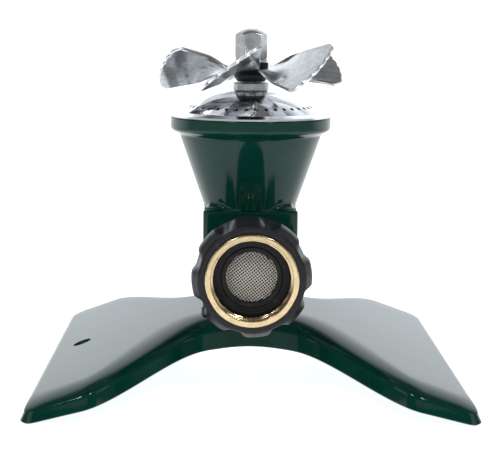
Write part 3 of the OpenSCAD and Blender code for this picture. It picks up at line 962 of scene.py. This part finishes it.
def rotor_wheel():
    """Pressed pinwheel: a flat centre that runs out into six twisted blades with wavy tips."""
    along, across = 26, 48
    last_row = 0.988
    disc_radii = (Wheel.bore, 4.3, 5.0, 6.0, Wheel.disc)
    inner = [2 * j / across - 1 for j in range(1, across)]
    spread = [-1, Wheel.edge_inset - 1] + inner + [1 - Wheel.edge_inset, 1]
    shares = [k / along for k in range(along)] + [last_row, 1]
    fan = [c * math.pi / Wheel.blades for c in spread]
    wheel = Patchwork()

    for i, pitch in enumerate(Wheel.pitches):
        facing = math.radians(Wheel.first - 90 + i * 360 / Wheel.blades)
        turn = Matrix.Rotation(facing, 3, "Z")

        def placed(p, s=0.0):
            """Turns a point of the blade to its place round the wheel, and lets it lean."""
            q = turn @ Vector(p)
            tip = Wheel.lean[0] * q.x + Wheel.lean[1] * q.y
            q.z += tip * smooth(s * Wheel.lean_rate) - Wheel.sag * smooth(s)
            return tuple(q)

        blades, discs = {}, {}
        for side in (-1, 1):
            z = Wheel.flat + Wheel.sheet * (side + 1) / 2
            blades[side] = [[placed(Wheel.point(s, c, side, pitch), s) for c in spread] for s in shares]
            discs[side] = [[placed((r * math.cos(a), r * math.sin(a), z)) for a in fan] for r in disc_radii]
        under, over = blades[-1], blades[1]
        sheets = [discs[-1], under, discs[1], over, [discs[-1][0], discs[1][0]]]
        sheets += [[[row[edge] for row in under], [row[edge] for row in over]] for edge in (0, -1)]
        sheets.append([under[-1], over[-1]])
        for rows in sheets:
            wheel.add(*grid(rows, wrap_columns=False))
    made = mesh_object("pinwheel", wheel.points, wheel.faces)
    piece(made, "rotor", "rotor_aluminium", ["rotor_wheel"], sharp=34)


# ---------------------------------------------------------------- hose coupling

class Hose:
    """Stations along the hose axis, which grow towards the hose, and the radii that parts share."""
    face = -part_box("swivel_nut")[0].y / MM
    back = -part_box("swivel_nut")[1].y / MM
    brass_r = middle("swivel_nut")[1].x
    flange_back, washer_back, washer_front = 40.2, 42.5, 45.5
    washer_bore_r = 8.15


def swivel_nut():
    """Brass nut with a real female hose thread, 11.5 turns to the inch."""
    pitch = 25.4 / 11.5
    crest, root, bevel = 12.33, 13.35, 0.32
    thread_front, thread_back = Hose.face - 0.8, 45.9
    front_fade, back_fade = 0.9, 1.2
    tooth_top, tooth_slope = 1.5, 4.2
    washer_bay_r, shelf, throat_r = 13.0, 39.9, 8.25
    turns, rows_along = 144, 44
    outline = rounded([(washer_bay_r, Hose.washer_front, 0), (washer_bay_r, shelf, 0.2),
                       (throat_r, shelf, 0.15), (throat_r, Hose.back, 0.2), (Hose.brass_r, Hose.back, 0.3),
                       (Hose.brass_r, Hose.face, 0.55), (13.1, Hose.face, 0.35)], closed=False)
    columns = []
    for j in range(turns):
        a = math.tau * j / turns
        thread = []
        for k in range(rows_along + 1):
            y = thread_front + (thread_back - thread_front) * k / rows_along
            phase = (y / pitch + a / math.tau) % 1.0
            tooth = smooth(tooth_top - abs(phase - 0.5) * tooth_slope)
            tooth *= smooth((thread_front - y) / front_fade) * smooth((y - thread_back) / back_fade)
            thread.append((crest + bevel + (root - crest - bevel) * (1 - tooth) - bevel * tooth, y))
        profile = [*outline, (12.95, thread_front + 0.35), *thread, (washer_bay_r, 45.7)]
        columns.append(swung(profile, a))
    made = towards_hose(mesh_object("hose_nut", *grid(rows_of(columns), wrap_rows=True)))
    piece(made, "coupling", "brass", ["swivel_nut"], sharp=32)


def grip_cover():
    """Moulded cover with eight finger lobes between scooped valleys."""
    lobes, first, turns = 8, math.radians(5.5), 256
    half = math.pi / lobes
    face, lip_r, foot_r = Hose.face - 1, 16.0, 16.2
    gap, edge = 0.05, 0.12
    valley_start, valley_width, valley_depth = 0.46, 0.42, 1.9
    deepen_start, deepen_length = 33, 7
    close_start, close_length, close_share = 46.5, 4.3, 0.82
    stations = [(Hose.back, 17.0), (Hose.back + 0.15, 17.2), (Hose.back + 0.6, 17.45), (34, 17.95),
                (37, 18.5), (40, 18.95), (41.5, 19.15), (43, 19.2), (45, 19.2), (46.6, 19.1), (47.6, 18.85),
                (48.4, 18.4), (49.2, 17.9), (50.0, 17.45), (50.5, 17.2), (50.75, 17.0), (50.92, 16.75),
                (51.0, 16.4)]
    rings = []
    for depth, reach in stations:
        close = close_share * smooth((depth - close_start) / close_length)
        bite = valley_depth * smooth((depth - deepen_start) / deepen_length) * (1 - close)
        ring = []
        for j in range(turns):
            a = math.tau * j / turns
            off = abs((a - first + half) % (2 * half) - half) / half
            r = reach - bite * smooth((off - valley_start) / valley_width)
            ring.append((r * math.cos(a), r * math.sin(a), depth))
        rings.append(ring)
    bore_r = Hose.brass_r + gap
    rings += spun(rounded([(lip_r, face, 0), (bore_r, face, edge), (bore_r, Hose.back, edge),
                           (foot_r, Hose.back, 0)], closed=False), turns)
    made = towards_hose(mesh_object("grip", *grid(rings, wrap_rows=True)))
    piece(made, "coupling", "grip_plastic", ["grip_cover"], sharp=40)


def hose_washer():
    """Rubber washer with a shallow groove in its front face."""
    back, front, r = Hose.washer_back, Hose.washer_front, 12.9
    groove = front - 0.3
    outline = rounded([(Hose.washer_bore_r, back, 0.2), (r, back, 0.3), (r, front, 0.5), (11.6, front, 0.2),
                       (11.3, groove, 0.15), (9.9, groove, 0.15), (9.6, front, 0.2),
                       (Hose.washer_bore_r, front, 0.5)])
    made = towards_hose(turned("rubber_washer", outline))
    piece(made, "coupling", "black_rubber", ["hose_washer"])


def filter_screen():
    """Woven wire disc that bulges towards the hose, each wire passing over and under the next."""
    reach, crown, pitch, wire = 8.9, 1.3, 0.80, 0.12
    seat, open_r = 43.8, Hose.washer_bore_r
    slant = math.radians(38)
    sides, weave = 5, 0.95
    count = int(reach / pitch)
    curve = (open_r ** 2 + crown ** 2) / (2 * crown)
    mesh = Patchwork()

    def surface(x, y, lift):
        """Point of the domed disc; flat where the washer grips it."""
        bulge = crown - (curve - math.sqrt(curve ** 2 - min(math.hypot(x, y), open_r) ** 2))
        return Vector((x * math.cos(slant) - y * math.sin(slant), x * math.sin(slant) + y * math.cos(slant),
                       seat + bulge + lift))

    for way in (0, 1):
        for i in range(-count, count + 1):
            line = i * pitch
            half = math.sqrt(reach ** 2 - line ** 2)
            steps = max(2, int(2 * half / (pitch / 2)))
            path = []
            for k in range(steps + 1):
                t = -half + 2 * half * k / steps
                lift = wire * weave * math.cos(math.pi * (t / pitch + i + way))
                path.append(surface(*((t, line) if way else (line, t)), lift))
            rings = []
            for k, p in enumerate(path):
                ahead = (path[min(k + 1, steps)] - path[max(k - 1, 0)]).normalized()
                side_on = ahead.cross(Vector((0, 0, 1))).normalized()
                up = side_on.cross(ahead)
                rings.append([tuple(p + (side_on * math.cos(a) + up * math.sin(a)) * wire)
                              for a in (math.tau * m / sides for m in range(sides))])
            mesh.add(*capped(rings))
    made = towards_hose(mesh_object("screen", mesh.points, mesh.faces))
    piece(made, "coupling", "screen_wire", ["filter_screen"], sharp=80)


def inlet_nipple():
    """Brass nipple: pipe end in the boss, rounded hexagon, tube and the flange behind the washer."""
    low, high = size("inlet_nipple")
    face, tip = -low.y, -high.y
    flats, hex_back, hex_front, hex_r = 24, 25.0, 30.0, 13.0
    pipe_r, tube_r, flange_r = 9.6, 8.2, 11.0
    bore_r, mouth_r, mouth_depth = 6.3, 7.9, 7
    turns = 144
    profile = rounded([(bore_r, tip, 0.2), (pipe_r, tip, 0.3), (pipe_r, hex_back, 0), (hex_r, hex_back, 0.2),
                       (hex_r, hex_front, 0.2), (tube_r, hex_front, 0.4), (tube_r, Hose.flange_back, 0.1),
                       (flange_r, Hose.flange_back, 0.2), (flange_r, face, 0.2), (mouth_r, face, 0.1),
                       (bore_r, face - mouth_depth, 1)])
    columns = []
    for j in range(turns):
        a = math.tau * j / turns
        limit = hex_radius(a, flats)
        columns.append(swung([(min(r, limit), y) for r, y in profile], a))
    made = towards_hose(mesh_object("hose_nipple", *grid(rows_of(columns), wrap_rows=True)))
    piece(made, "stand", "brass", ["inlet_nipple"], sharp=25)


def paint_frame():
    """Gives each CAD node that stays its procedural finish."""
    for entry in frame["record"]["subparts"]:
        node = frame["nodes"][entry["node"]]
        for slot in node.material_slots:
            slot.material = LOOKS[entry["material_slot"]]


camera()
floor()
studio()
LOOKS = {maker.__name__: maker() for maker in MAKERS}
paint_frame()
base()
head_body()
spray_dome()
collar_nut()
rotor_hub()
ring_part("rotor_cap_washer", "rotor_hub_cap", "rotor", "black_plastic", (0.2, 0.35), SLEEVE_R)
ring_part("thrust_ring", "thrust_washer", "stand", "zinc_steel", (0.15, 0.15), SPINDLE_BORE_R)
cap_nut()
rotor_wheel()
swivel_nut()
grip_cover()
hose_washer()
filter_screen()
inlet_nipple()
